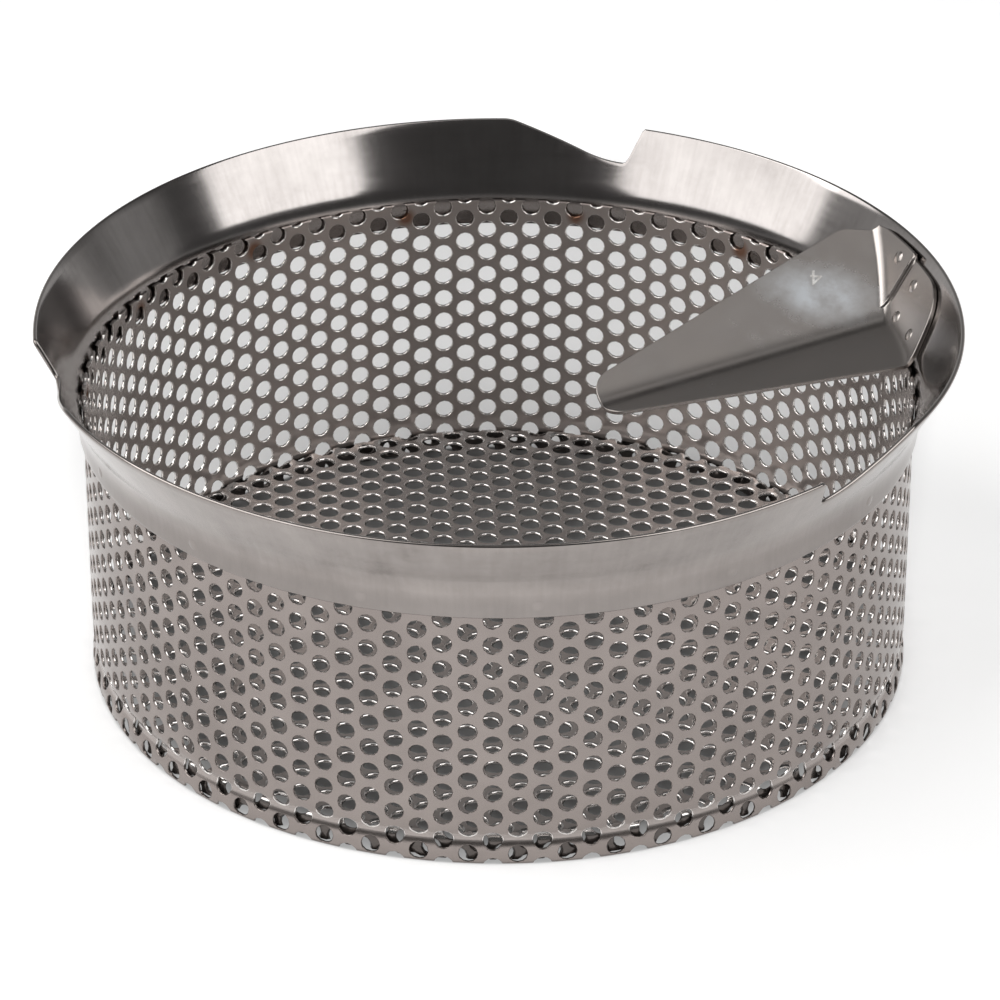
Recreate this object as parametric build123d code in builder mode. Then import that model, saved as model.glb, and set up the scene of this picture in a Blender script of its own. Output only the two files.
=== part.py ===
from build123d import *
from math import cos, degrees, hypot, pi, radians, sin, sqrt, tan
import os

# Food mill sieve: a perforated drum, its perforated floor, a flared rim collar with bayonet notches
# and a folded deflector, four stainless sheets that are spot welded together.
# Millimetres, +Z up. The origin is the centre of the circle that the drum stands on.

# Sheets
sieve_sheet = 0.8           # perforated sheet of the side wall and the floor
collar_sheet = 1.0
deflector_sheet = 1.0
weld_gap = 0.1              # play between two sheets that lie on each other

# Side wall
drum_diameter = 183.0       # outside, over the bends between the columns of holes
wall_height = 67.0

# Perforation of the wall and the floor, in staggered columns
hole_width = 8.6            # across the flats
hole_pitch = 13.6           # from a hole to each of its six neighbours
first_row_height = 7.0      # lowest hole centre in the wall
wall_edge_web = 1.0         # least metal between a hole and the wall's top edge
floor_edge_web = 0.8        # least metal between a hole and the floor's bent edge
front_column_angle = -90.7  # a column of holes stands here
floor_pattern_turn = 4.0    # the floor's columns lean this much away from the Y axis

# Floor disc, pushed up into the drum with its edge turned down
floor_height = 6.3          # top face of the floor
flange_lift = 0.4           # the flange ends this far above the drum's lower edge
flange_bend = 1.6           # the floor turns into the flange over this width

# Rim collar
skirt_overlap = 6.5         # the skirt covers this much of the wall's top
skirt_rise = 0.4            # the flare starts this far above the wall's top edge
lip_diameter = 203.2        # outer edge of the flared lip
lip_slope = 30.4            # lean of the lip from the upright

# Bayonet notches in the lip's edge
notch_angles = (70.2, 187.3, 311.6)  # steep side of each notch, spaced unevenly so that the sieve fits one way round
notch_depth = 8.6           # along the lip's slope
notch_step = 3.0            # run of the steep side along the edge
notch_floor = 6.0           # length of the notch's floor
notch_ramp = 23.2           # run of the long ramp along the edge
notch_corner = 3.0

# Deflector: a wing and a shelf that meet in a fold, and a tab that lies on the lip
tip_reach = 22.7            # from the drum's axis to the deflector's tip
tip_angle = 7.6             # where the fold meets the tip
tip_drop = 8.5              # the plates' underside at the tip lies this far below the wall's top edge
tip_width = 10.8            # across the fold
tip_corner = 5.0
fold_angle = 16.5           # where the fold meets the lip
fold_rise = 0.9             # and how far above the wall's top edge
fold_bend = 2.0             # radius inside the fold
shelf_angle = 2.7           # where the shelf's front edge meets the lip
shelf_rise = 0.5
wing_angle = 28.2           # where the wing's top edge meets the lip
wing_rise = 12.6
wing_top = 8.7              # length of the wing's level top edge
wing_corner = 6.0
tab_lean = 5.2              # the tab's front edge leans back by this angle on its way up
tab_height = 16.2           # along the lip's slope
tab_corner = 14.0
shelf_clearance = 0.4       # between the shelf's end and the wall

# Sizes that follow
full_turn = 360.0
column_step = hole_pitch * sqrt(3) / 2
column_pairs = round(pi * drum_diameter / (2 * column_step))
column_turn = full_turn / (2 * column_pairs)
wall_radius = drum_diameter / 2
flat_radius = wall_radius * cos(radians(column_turn / 2))
bore_radius = flat_radius - sieve_sheet
flange_radius = bore_radius - weld_gap
skirt_radius = wall_radius + weld_gap
lip_start = wall_height + skirt_rise
lip_run = lip_diameter / 2 - skirt_radius - collar_sheet * cos(radians(lip_slope))
lip_length = lip_run / sin(radians(lip_slope))
lip_height = lip_start + lip_length * cos(radians(lip_slope))


def on_drum(radius, angle, height=0.0):
    return Vector(radius * cos(radians(angle)), radius * sin(radians(angle)), height)


def lip_inside(height, cover):
    # radius of the lip's inner face at a height, less a cover measured square to the sheet
    return skirt_radius + (height - lip_start) * tan(radians(lip_slope)) - cover / cos(radians(lip_slope))


def rows(first, last):
    return [first + hole_pitch * i for i in range(int((last - first) // hole_pitch) + 1)]


# Side wall: rolled with a narrow flat under each upright column of holes
top_row = wall_height - wall_edge_web - hole_width / 2
even_columns = [front_column_angle + 2 * column_turn * i for i in range(column_pairs)]
odd_columns = [angle + column_turn for angle in even_columns]
even_rows = rows(first_row_height, top_row)
odd_rows = rows(first_row_height + hole_pitch / 2, top_row)


def column_plane(angle):
    return Plane(origin=on_drum(flat_radius, angle), x_dir=(0, 0, 1), z_dir=on_drum(1, angle))


with BuildPart() as side_wall:
    with BuildSketch():
        for apothem, mode in ((flat_radius, Mode.ADD), (bore_radius, Mode.SUBTRACT)):
            RegularPolygon(
                apothem,
                2 * column_pairs,
                major_radius=False,
                rotation=front_column_angle + column_turn / 2,
                mode=mode,
            )
    extrude(amount=wall_height)
    for columns, heights in ((even_columns, even_rows), (odd_columns, odd_rows)):
        with BuildSketch(*[column_plane(angle) for angle in columns]):
            with Locations(*[(height, 0) for height in heights]):
                RegularPolygon(hole_width / 2, 6, major_radius=False, rotation=30)
        extrude(amount=2 * sieve_sheet, both=True, mode=Mode.SUBTRACT)

# Floor disc: the same perforation, with the edge turned down inside the wall
floor_reach = flange_radius - flange_bend - floor_edge_web - hole_width / sqrt(3)
half_pitch = hole_pitch / 2
floor_columns = int(floor_reach // column_step)
floor_rows = int(floor_reach // half_pitch)
floor_holes = [
    (column * column_step, row * half_pitch)
    for column in range(-floor_columns, floor_columns + 1)
    for row in range(-floor_rows, floor_rows + 1)
    if (column + row) % 2 == 0 and hypot(column * column_step, row * half_pitch) <= floor_reach
]
floor_plane = Plane.XY.offset(floor_height).rotated((0, 0, floor_pattern_turn))

with BuildPart() as floor_disc:
    with BuildSketch(Plane.XZ):
        with BuildLine():
            Polyline(
                (0, floor_height),
                (flange_radius - flange_bend, floor_height),
                (flange_radius, floor_height - flange_bend),
                (flange_radius, flange_lift),
            )
            offset(amount=sieve_sheet, side=Side.RIGHT, kind=Kind.INTERSECTION)
        make_face()
    revolve(axis=Axis.Z)
    with BuildSketch(floor_plane):
        with Locations(*floor_holes):
            RegularPolygon(hole_width / 2, 6, major_radius=False)
    extrude(amount=2 * sieve_sheet, both=True, mode=Mode.SUBTRACT)

# Rim collar: a skirt round the top of the wall, flared into a lip with bayonet notches in its edge
notch_middles = [angle + degrees((notch_step + notch_floor / 2) / (lip_diameter / 2)) for angle in notch_angles]


def lip_plane(angle):
    # touches the lip's inner edge, with X along the edge and Y up the lip's slope
    return Plane(
        origin=on_drum(skirt_radius + lip_run, angle, lip_height),
        x_dir=on_drum(1, angle + full_turn / 4),
        z_dir=on_drum(cos(radians(lip_slope)), angle, -sin(radians(lip_slope))),
    )


with BuildPart() as rim_collar:
    with BuildSketch(Plane.XZ):
        with BuildLine():
            Polyline(
                (skirt_radius, wall_height - skirt_overlap),
                (skirt_radius, lip_start),
                (skirt_radius + lip_run, lip_height),
            )
            offset(amount=collar_sheet, side=Side.RIGHT, kind=Kind.INTERSECTION)
        make_face()
    revolve(axis=Axis.Z)
    with BuildSketch(*[lip_plane(angle) for angle in notch_middles]):
        with BuildLine():
            notch_line = FilletPolyline(
                (-notch_floor / 2 - 2 * notch_step, notch_depth),
                (-notch_floor / 2, -notch_depth),
                (notch_floor / 2, -notch_depth),
                (notch_floor / 2 + 2 * notch_ramp, notch_depth),
                radius=notch_corner,
            )
            Line(notch_line @ 1, notch_line @ 0)
        make_face()
    extrude(amount=lip_run, both=True, mode=Mode.SUBTRACT)

# Deflector: its plates lie on two planes that meet in the fold
plate_cover = weld_gap + deflector_sheet / 2
fold_end = on_drum(tip_reach, tip_angle, wall_height - tip_drop)


def lip_point(angle, rise):
    return on_drum(lip_inside(wall_height + rise, plate_cover), angle, wall_height + rise)


fold_root = lip_point(fold_angle, fold_rise)
shelf_root = lip_point(shelf_angle, shelf_rise)
wing_root = lip_point(wing_angle, wing_rise)
fold_line = (fold_root - fold_end).normalized()


def plate_plane(root):
    # the underside of a plate, with X along the fold and Z up
    up = fold_line.cross(root - fold_end)
    return Plane(origin=fold_end, x_dir=fold_line, z_dir=up if up.Z > 0 else -up)


shelf_plane = plate_plane(shelf_root)
wing_plane = plate_plane(wing_root)

# Its tab is a strip of the lip's own cone, with a rounded front corner, that stands on the plates
edge_radius = skirt_radius + lip_run
tab_angle = shelf_angle + tab_lean + degrees(tab_corner / edge_radius)
tab_front = radians(shelf_angle - tab_angle) * edge_radius
tab_shift = radians(tab_lean) * edge_radius
tab_top = lip_start + tab_height * cos(radians(lip_slope))

with BuildPart() as deflector_tab:
    with BuildSketch(Plane.XZ):
        with BuildLine():
            Line(
                (lip_inside(lip_start, weld_gap), lip_start),
                (lip_inside(tab_top, weld_gap), tab_top),
            )
            offset(amount=deflector_sheet, side=Side.LEFT)
        make_face()
    revolve(axis=Axis.Z, revolution_arc=full_turn / 4)
    with BuildSketch(lip_plane(tab_angle)):
        with BuildLine():
            tab_line = FilletPolyline(
                (tab_front, -lip_length),
                (tab_front + tab_shift, tab_height - lip_length),
                (edge_radius, tab_height - lip_length),
                radius=tab_corner,
            )
            Polyline(tab_line @ 1, (edge_radius, -lip_length), tab_line @ 0)
        make_face()
    extrude(amount=edge_radius, both=True, mode=Mode.INTERSECT)
    split(bisect_by=shelf_plane, keep=Keep.TOP)
    split(bisect_by=wing_plane, keep=Keep.TOP)

# Its outline from above is rounded at the tip, with a level top edge on the wing
half_tip = Vector(-fold_line.Y, fold_line.X).normalized() * (tip_width / 2)
tip_middle = Vector(fold_end.X, fold_end.Y)
shelf_tip = tip_middle - half_tip
wing_tip = tip_middle + half_tip
wing_edge = Vector(wing_root.X - wing_top, wing_root.Y)
shelf_far = shelf_tip + (Vector(shelf_root.X, shelf_root.Y) - shelf_tip).normalized() * lip_diameter
wing_far = wing_edge + Vector(lip_diameter / 2, 0)


def along_fold(edge):
    return abs((edge @ 1 - edge @ 0).normalized().dot(fold_line)) > 0.9999


def off_fold(edge):
    return (edge @ 0 - fold_end).cross(fold_line).length


with BuildPart() as deflector:
    for plane, side in ((shelf_plane, Align.MAX), (wing_plane, Align.MIN)):
        with BuildSketch(plane):
            Rectangle(2 * lip_diameter, lip_diameter, align=(Align.CENTER, side))
        extrude(amount=deflector_sheet)
    fillet(deflector.edges().filter_by(along_fold).sort_by(off_fold)[1], fold_bend)
    fillet(deflector.edges().filter_by(along_fold).sort_by(off_fold)[0], fold_bend + deflector_sheet)
    with BuildSketch():
        with BuildLine():
            outline = FilletPolyline(
                shelf_far,
                shelf_tip,
                wing_tip,
                wing_edge,
                wing_far,
                radius=[tip_corner, tip_corner, wing_corner],
            )
            Line(outline @ 1, outline @ 0)
        make_face()
    extrude(amount=2 * lip_height, mode=Mode.INTERSECT)
    with BuildSketch(Plane.XZ):
        with BuildLine():
            Polyline(
                (0, 0),
                (bore_radius - shelf_clearance, 0),
                (bore_radius - shelf_clearance, wall_height),
                (lip_inside(wall_height, plate_cover), wall_height),
                (lip_inside(lip_height, plate_cover), lip_height),
                (0, lip_height),
                close=True,
            )
        make_face()
    revolve(axis=Axis.Z, mode=Mode.INTERSECT)
    add(deflector_tab.part)

os.makedirs("parts", exist_ok=True)

side_wall.part.label = "side_wall"
export_step(side_wall.part, "parts/side_wall.step")
floor_disc.part.label = "floor_disc"
export_step(floor_disc.part, "parts/floor_disc.step")
rim_collar.part.label = "rim_collar"
export_step(rim_collar.part, "parts/rim_collar.step")
deflector.part.label = "deflector"
export_step(deflector.part, "parts/deflector.step")
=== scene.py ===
# Food mill sieve: a drum and a floor of punched steel sheet, a flared rim collar and a folded deflector
from math import ceil, cos, pi, radians, sin, sqrt, tan

import bmesh
import bpy
import numpy as np
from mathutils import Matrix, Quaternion, Vector
from mathutils.geometry import delaunay_2d_cdt


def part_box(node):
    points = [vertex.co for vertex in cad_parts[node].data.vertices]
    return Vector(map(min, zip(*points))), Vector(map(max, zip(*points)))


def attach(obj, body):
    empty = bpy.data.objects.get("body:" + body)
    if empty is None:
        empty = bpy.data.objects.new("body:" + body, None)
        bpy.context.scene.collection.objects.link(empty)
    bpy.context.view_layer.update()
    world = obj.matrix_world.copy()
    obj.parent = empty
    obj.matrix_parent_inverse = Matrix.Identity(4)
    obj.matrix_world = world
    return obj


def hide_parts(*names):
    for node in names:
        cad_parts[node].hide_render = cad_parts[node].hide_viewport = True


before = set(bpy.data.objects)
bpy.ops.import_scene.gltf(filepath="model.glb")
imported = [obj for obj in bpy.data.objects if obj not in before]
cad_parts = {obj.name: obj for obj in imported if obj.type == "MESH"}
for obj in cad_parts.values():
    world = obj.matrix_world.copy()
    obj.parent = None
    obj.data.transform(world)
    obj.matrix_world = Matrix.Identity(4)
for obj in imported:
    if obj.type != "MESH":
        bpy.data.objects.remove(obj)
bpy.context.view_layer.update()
mm = 0.001
print("frame loaded:", ", ".join(sorted(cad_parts)))

wallFoot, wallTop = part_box("side_wall")
collarFoot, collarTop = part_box("rim_collar")
floorFoot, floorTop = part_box("floor_disc")


class Wire:  # one socket of a node tree; arithmetic on it adds Math nodes
    def __init__(self, tree, socket=None):
        self.tree = tree
        self.socket = socket

    def node(self, kind, settings=None, values=None, output=0):
        made = self.tree.nodes.new(kind)
        for name, value in (settings or {}).items():
            if name == "stops":
                fillRamp(made.color_ramp, value)
            elif name == "moreItems":
                for _ in range(value):
                    made.index_switch_items.new()
            else:
                setattr(made, name, value)
        for name, value in (values or {}).items():
            target = made.inputs[name]
            if isinstance(value, Wire):
                self.tree.links.new(value.socket, target)
            elif target.type == "RGBA":
                target.default_value = (*value, 1.0)
            else:
                target.default_value = value
        return Wire(self.tree, made.outputs[output] if made.outputs else None)

    def math(self, operation, *values):
        return self.node("ShaderNodeMath", {"operation": operation}, dict(enumerate(values)))

    def __add__(self, other):
        return self.math("ADD", self, other)

    def __radd__(self, other):
        return self.math("ADD", other, self)

    def __sub__(self, other):
        return self.math("SUBTRACT", self, other)

    def __rsub__(self, other):
        return self.math("SUBTRACT", other, self)

    def __mul__(self, other):
        return self.math("MULTIPLY", self, other)

    def __rmul__(self, other):
        return self.math("MULTIPLY", other, self)

    def __truediv__(self, other):
        return self.math("DIVIDE", self, other)

    def __rtruediv__(self, other):
        return self.math("DIVIDE", other, self)

    def __pow__(self, other):
        return self.math("POWER", self, other)


def fillRamp(ramp, stops):
    while len(ramp.elements) < len(stops):
        ramp.elements.new(1.0)
    for element, (place, shade) in zip(ramp.elements, stops):
        element.position = place
        element.color = (*shade, 1.0)


def blend(wire, factor, first, second):  # colour between two colours
    values = {0: factor, 6: first, 7: second}
    return wire.node("ShaderNodeMix", {"data_type": "RGBA", "clamp_factor": True}, values, output=2)


def grey(level):
    return (level, level, level)


def newMaterial(name):
    material = bpy.data.materials.new(name)
    material.use_nodes = True
    tree = material.node_tree
    tree.nodes.clear()
    return material, Wire(tree)


def finishMaterial(wire, shader):
    wire.node("ShaderNodeOutputMaterial", values={"Surface": shader})


# Steel finishes
steelLook = {
    "punchedLight": (0.325, 0.286, 0.268),
    "punchedDark": (0.283, 0.248, 0.232),
    "punchedInside": (0.45, 0.405, 0.383),   # lighter on the drum's inside faces
    "punchedRimGlint": (0.74, 0.71, 0.69),        # painted highlight: pale polished edges of the holes, standing in for their glints
    "punchedShadeUnderFloor": (0.13, 0.114, 0.106),   # painted shade: the drum's inside below the floor
    "rimRoughness": 0.13,
    "punchedRoughness": 0.21,
    "punchedMetallic": 0.70,    # a dull film takes the rest
    "outerMetallic": 0.90,
    "heatTint": (0.20, 0.085, 0.040),
    "heatSpot": 2.6 * mm,       # radius of the brown spot behind a weld
    "collarLight": (0.355, 0.323, 0.306),
    "collarDark": (0.273, 0.247, 0.233),
    "lipPaintedBrightLight": (0.42, 0.395, 0.383),     # painted light: brighter colours for the faces that look inward, inside the lip
    "lipPaintedBrightDark": (0.325, 0.303, 0.292),
    "collarShadeBehindDrum": (0.22, 0.20, 0.19),   # painted shade: inside the skirt, behind the drum
    "collarRoughness": 0.14,
    "deflectorLight": (0.375, 0.343, 0.322),
    "deflectorDark": (0.328, 0.297, 0.277),
    "deflectorRoughness": 0.24,
    "smudgeColour": (0.60, 0.63, 0.66),
    "smearPlace": (0.0725, 0.0312, 0.0722),
    "smearShape": (52.0, 85.0, 80.0),   # how quickly the smear ends in X, Y and Z, per metre
    "markLight": (0.85, 0.84, 0.82),
    "markDark": (0.55, 0.53, 0.51),
}


def noise(wire, place, scale, detail=3.0, roughness=0.55):
    values = {"Vector": place, "Scale": scale, "Detail": detail, "Roughness": roughness}
    return wire.node("ShaderNodeTexNoise", values=values)


def ramp(wire, value, low, high):  # 0 below low, 1 above high
    settings = {"stops": [(low, grey(0.0)), (high, grey(1.0))]}
    return wire.node("ShaderNodeValToRGB", settings, {"Fac": value})


def steel(wire, colour, roughness, bumpHeight, bumpDepth, metallic=1.0):
    normal = wire.node("ShaderNodeBump", values={"Strength": 0.4, "Distance": bumpDepth, "Height": bumpHeight})
    values = {"Base Color": colour, "Metallic": metallic, "Roughness": roughness, "Normal": normal}
    return wire.node("ShaderNodeBsdfPrincipled", values=values)


def axes(wire, vector):
    split = wire.tree.nodes.new("ShaderNodeSeparateXYZ")
    wire.tree.links.new(vector.socket, split.inputs[0])
    return [Wire(wire.tree, output) for output in split.outputs]


def length(wire, x, y):
    return wire.math("SQRT", x * x + y * y)


def ringPlace(wire):  # plain object place, distance from the axis, angle round it and height
    place = wire.node("ShaderNodeTexCoord", output=3)
    x, y, z = axes(wire, place)
    return place, length(wire, x, y), wire.math("ARCTAN2", y, x), z


# Spot welds that hold the collar's skirt to the drum
weldLook = {
    "angles": (-133.3, -107.7, -85.0, -58.7, -32, -7, 25, 51.5, 78.4, 104, 129, 154, 179, 203),
    "height": 63.8 * mm,
    "stray": 0.3 * mm,
    "radius": 1.35 * mm,
    "rise": 0.2 * mm,
}


def clamp(wire, value):
    return wire.math("MINIMUM", wire.math("MAXIMUM", value, 0.0), 1.0)


def fromHole(wire, x, y):  # distance from the middle of the nearest hole, in the flat sheet
    step = sheetLook["Pitch"] * sqrt(3)
    pitch = sheetLook["Pitch"]
    nearest = []
    for shiftX, shiftY in ((0, 0), (step / 2, pitch / 2)):
        across = (wire.math("FRACT", (x - shiftX) / step + 0.5) - 0.5) * step
        up = (wire.math("FRACT", (y - shiftY) / pitch + 0.5) - 0.5) * pitch
        nearest.append(length(wire, across, up))
    return wire.math("MINIMUM", *nearest)


def weldAngles():
    return [radians(angle) for angle in weldLook["angles"]]


def punchedSteel():
    look = steelLook
    material, wire = newMaterial("punchedSteel")
    place, out, angle, height = ringPlace(wire)
    cloud = noise(wire, place, 55.0)
    fine = noise(wire, place, 900.0, 2.0)
    colour = blend(wire, ramp(wire, cloud, 0.35, 0.7), look["punchedLight"], look["punchedDark"])
    inside = clamp(wire, (wallLook["radius"] - 0.4 * mm - out) / (0.1 * mm))
    colour = blend(wire, inside * 0.75, colour, look["punchedInside"])
    # painted shade: the drum's inside below the floor's top gets a dark colour
    low = clamp(wire, (floorTop.z - 1.0 * mm - height) / (0.3 * mm))
    colour = blend(wire, inside * low, colour, look["punchedShadeUnderFloor"])
    # brown spots where the welds have heated the top of the drum
    turn = wire.math("FRACT", angle / (2 * pi) + 1.0)
    nearest = None
    for weldAngle in weldAngles():
        away = wire.math("ABSOLUTE", turn - (weldAngle / (2 * pi)) % 1)
        nearest = wire.math("MINIMUM", nearest, away) if nearest else away
    across = nearest * (2 * pi * collarTop.x)
    up = height - weldLook["height"]
    far = length(wire, across, up) + (cloud - 0.5) * (2.4 * mm)
    spot = 1.0 - ramp(wire, far / (2 * look["heatSpot"]), 0.25, 0.62)
    colour = blend(wire, spot * 0.85, colour, look["heatTint"])
    roughness = look["punchedRoughness"] + (cloud - 0.5) * 0.16 + (fine - 0.5) * 0.1
    # painted highlight: the holes' polished edges get a pale colour that stands in for their glints; the wall's lattice
    # starts at its seam, the floor's at its middle
    wall = wallLook
    unrolled = wire.math("FRACT", (angle - wall["seamAngle"]) / (2 * pi)) * (2 * pi)
    columns = (unrolled + (wall["seamAngle"] - 2 * pi - wall["frontAngle"])) / wall["columnTurn"]
    wallHole = fromHole(wire, columns * (sheetLook["Pitch"] * sqrt(3) / 2), height - wall["firstRow"])
    x, y, _ = axes(wire, place)
    lean = floorLook["turn"]
    floorHole = fromHole(wire, x * cos(lean) + y * sin(lean), y * cos(lean) - x * sin(lean))
    wallRimGlint = clamp(wire, 1 - (wallHole - sheetLook["Hole"] / 2 - 0.16 * mm) / (0.14 * mm))
    floorRimGlint = clamp(wire, 1 - (floorHole - sheetLook["Hole"] / 2 - 0.46 * mm) / (0.14 * mm))
    wallRimGlint = wallRimGlint * clamp(wire, (wallLook["radius"] - 0.24 * mm - out) / (0.12 * mm)) * (1 - low)
    onFloor = clamp(wire, (88.8 * mm - out) / (0.2 * mm))
    rim = wallRimGlint + (floorRimGlint - wallRimGlint) * onFloor
    dull = look["outerMetallic"] + inside * (look["punchedMetallic"] - look["outerMetallic"])
    metallic = dull + rim * (1 - dull)
    # painted highlight: pale colour on the holes' edges
    colour = blend(wire, rim * (1 - spot), colour, look["punchedRimGlint"])
    roughness = roughness + rim * (look["rimRoughness"] - look["punchedRoughness"])
    finishMaterial(wire, steel(wire, colour, roughness, fine, 0.02 * mm, metallic))
    return material


def collarSteel():
    look = steelLook
    material, wire = newMaterial("collarSteel")
    place, out, angle, height = ringPlace(wire)
    cloud = noise(wire, place, 45.0, 5.0, 0.62)
    rub = noise(wire, place, 150.0, 5.0, 0.7)
    drawn = wire.node("ShaderNodeCombineXYZ", values={"X": angle * 6.0, "Y": height * 900.0, "Z": 0.0})
    lines = noise(wire, drawn, 1.0, 3.0)
    drips = wire.node("ShaderNodeCombineXYZ", values={"X": angle * 70.0, "Y": height * 60.0, "Z": 0.0})
    runs = noise(wire, drips, 1.0, 3.0)
    worn = cloud * 0.6 + rub * 0.2 + runs * 0.2
    patchy = ramp(wire, worn, 0.40, 0.62)
    facingX, facingY, _ = axes(wire, wire.node("ShaderNodeTexCoord", output=1))
    x, y, _ = axes(wire, place)
    # painted light and shade: faces that look inward get the brighter lip colours, faces that look outward the darker
    # collar colours
    inward = clamp(wire, 0.5 - 2.0 * (facingX * x + facingY * y) / out)
    outwardPaintedDarker = blend(wire, patchy, look["collarLight"], look["collarDark"])
    inwardPaintedBrighter = blend(wire, patchy, look["lipPaintedBrightLight"], look["lipPaintedBrightDark"])
    colour = blend(wire, inward, outwardPaintedDarker, inwardPaintedBrighter)
    # painted shade: the skirt's inside below the bend, behind the drum, gets a dark colour
    shadeBehindDrum = (1 - ramp(wire, out * 5.0, 0.4615, 0.4625)) * (1 - ramp(wire, height * 5.0, 0.3335, 0.336))
    colour = blend(wire, shadeBehindDrum, colour, look["collarShadeBehindDrum"])
    smudge = ramp(wire, cloud, 0.56, 0.74) * ramp(wire, rub, 0.45, 0.62)
    roughness = look["collarRoughness"] + (lines - 0.5) * 0.07 + smudge * 0.16
    finishMaterial(wire, steel(wire, colour, roughness, lines, 0.012 * mm))
    return material


def deflectorSteel():
    look = steelLook
    material, wire = newMaterial("deflectorSteel")
    place, out, angle, height = ringPlace(wire)
    cloud = noise(wire, place, 60.0, 4.0)
    rub = noise(wire, place, 160.0, 5.0, 0.65)
    colour = blend(wire, ramp(wire, cloud, 0.3, 0.7), look["deflectorLight"], look["deflectorDark"])
    # pale smear across the wing, where hands have rubbed it
    away = wire.node("ShaderNodeVectorMath", {"operation": "SUBTRACT"}, {0: place, 1: look["smearPlace"]})
    away = wire.node("ShaderNodeVectorMath", {"operation": "MULTIPLY"}, {0: away, 1: look["smearShape"]})
    far = wire.node("ShaderNodeVectorMath", {"operation": "LENGTH"}, {0: away}, output=1)
    smear = 1.0 - ramp(wire, far + (cloud - 0.5) * 0.9, 0.20, 0.95)
    smear = smear * (0.35 + 0.65 * ramp(wire, rub, 0.30, 0.62))
    smudge = ramp(wire, cloud, 0.42, 0.85) * ramp(wire, rub, 0.25, 0.8) * 0.3
    pale = wire.math("MAXIMUM", smear, smudge)
    colour = blend(wire, pale * 0.85, colour, look["smudgeColour"])
    roughness = look["deflectorRoughness"] + (rub - 0.5) * 0.1 + pale * 0.22
    finishMaterial(wire, steel(wire, colour, roughness, rub, 0.015 * mm))
    return material


def markSteel():
    look = steelLook
    material, wire = newMaterial("markSteel")
    place = wire.node("ShaderNodeTexCoord", output=3)
    worn = noise(wire, place, 700.0, 3.0)
    colour = blend(wire, ramp(wire, worn, 0.35, 0.65), look["markLight"], look["markDark"])
    finishMaterial(wire, steel(wire, colour, 0.45 + (worn - 0.5) * 0.2, worn, 0.02 * mm))
    return material


steelOfCollar = collarSteel()
steelOfDeflector = deflectorSteel()
steelOfMark = markSteel()
print("plain steel finishes ready")


def addObject(name, mesh):
    made = bpy.data.objects.new(name, mesh)
    bpy.context.scene.collection.objects.link(made)
    return made


def finishPiece(piece, node=None):
    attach(piece, "root")
    if node:
        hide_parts(node)
    piece.data.calc_loop_triangles()
    print(f"{piece.name}: {len(piece.data.loop_triangles)} triangles")


def growMesh(name, tree, values, base=None):  # runs a tree and keeps its result as a plain mesh
    made = addObject(name, base or bpy.data.meshes.new(name))
    modifier = made.modifiers.new(tree.name, "NODES")
    modifier.node_group = tree
    for item in tree.interface.items_tree:
        if item.in_out == "INPUT" and item.name in values:
            modifier[item.identifier] = values[item.name]
    grown = bpy.data.meshes.new_from_object(made.evaluated_get(bpy.context.evaluated_depsgraph_get()))
    made.modifiers.clear()
    made.data = grown
    grown.name = name
    return made


def newTree(name, inputs):
    tree = bpy.data.node_groups.new(name, "GeometryNodeTree")
    for title, kind in inputs:
        tree.interface.new_socket(name=title, in_out="INPUT", socket_type="NodeSocket" + kind)
    tree.interface.new_socket(name="Geometry", in_out="OUTPUT", socket_type="NodeSocketGeometry")
    entry = tree.nodes.new("NodeGroupInput")
    sockets = {title: Wire(tree, entry.outputs[title]) for title, kind in inputs}
    return tree, Wire(tree), sockets


def endTree(wire, geometry, material):
    geometry = wire.node("GeometryNodeSetMaterial", values={"Geometry": geometry, "Material": material})
    wire.node("NodeGroupOutput", values={0: geometry})


# Punched sheet, flat: six-sided cells with a round hole each, in staggered columns along Y
sheetLook = {
    "Pitch": 6.0 * mm,
    "Hole": 4.0 * mm,
    "Sheet": 0.8 * mm,
    "Front roll": 0.22 * mm,   # rounding of a hole's edge on the front of the sheet
    "Back roll": 0.34 * mm,
    "Segments": 12,
}


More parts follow.
